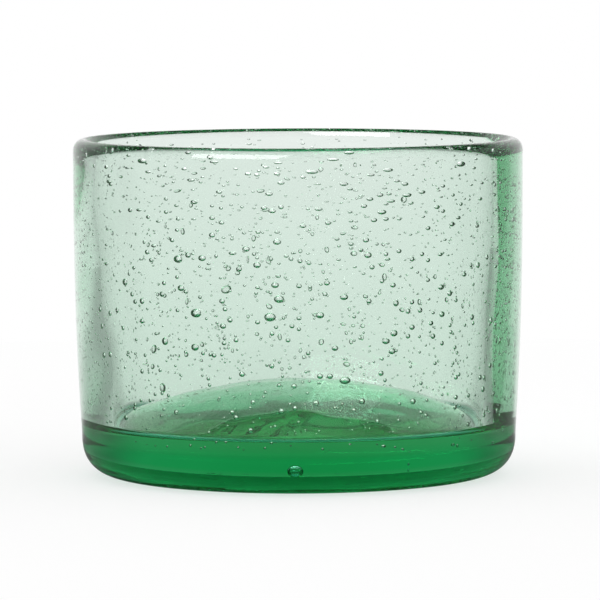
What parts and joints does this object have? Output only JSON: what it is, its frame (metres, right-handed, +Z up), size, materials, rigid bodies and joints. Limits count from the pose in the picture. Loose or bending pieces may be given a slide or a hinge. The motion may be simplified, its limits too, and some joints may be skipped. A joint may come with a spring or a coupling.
{
  "type": "water tumbler",
  "caption": "Low, wide blown-glass water tumbler in bubbly green glass, with a rounded rim, a thick base and a rounded heel.",
  "frame": {"origin": "centre of the flat ring that the tumbler stands on", "axes": "+Z up along the axis of the tumbler, -Y towards the viewer of the picture"},
  "size_m": [0.084, 0.084, 0.063],
  "materials": {
    "green_glass": "clear green blown glass with many small bubbles, fire-polished, deep green where it is thick"
  },
  "bodies": {
    "root": {"glass_body": "green_glass"}
  },
  "joints": []
}
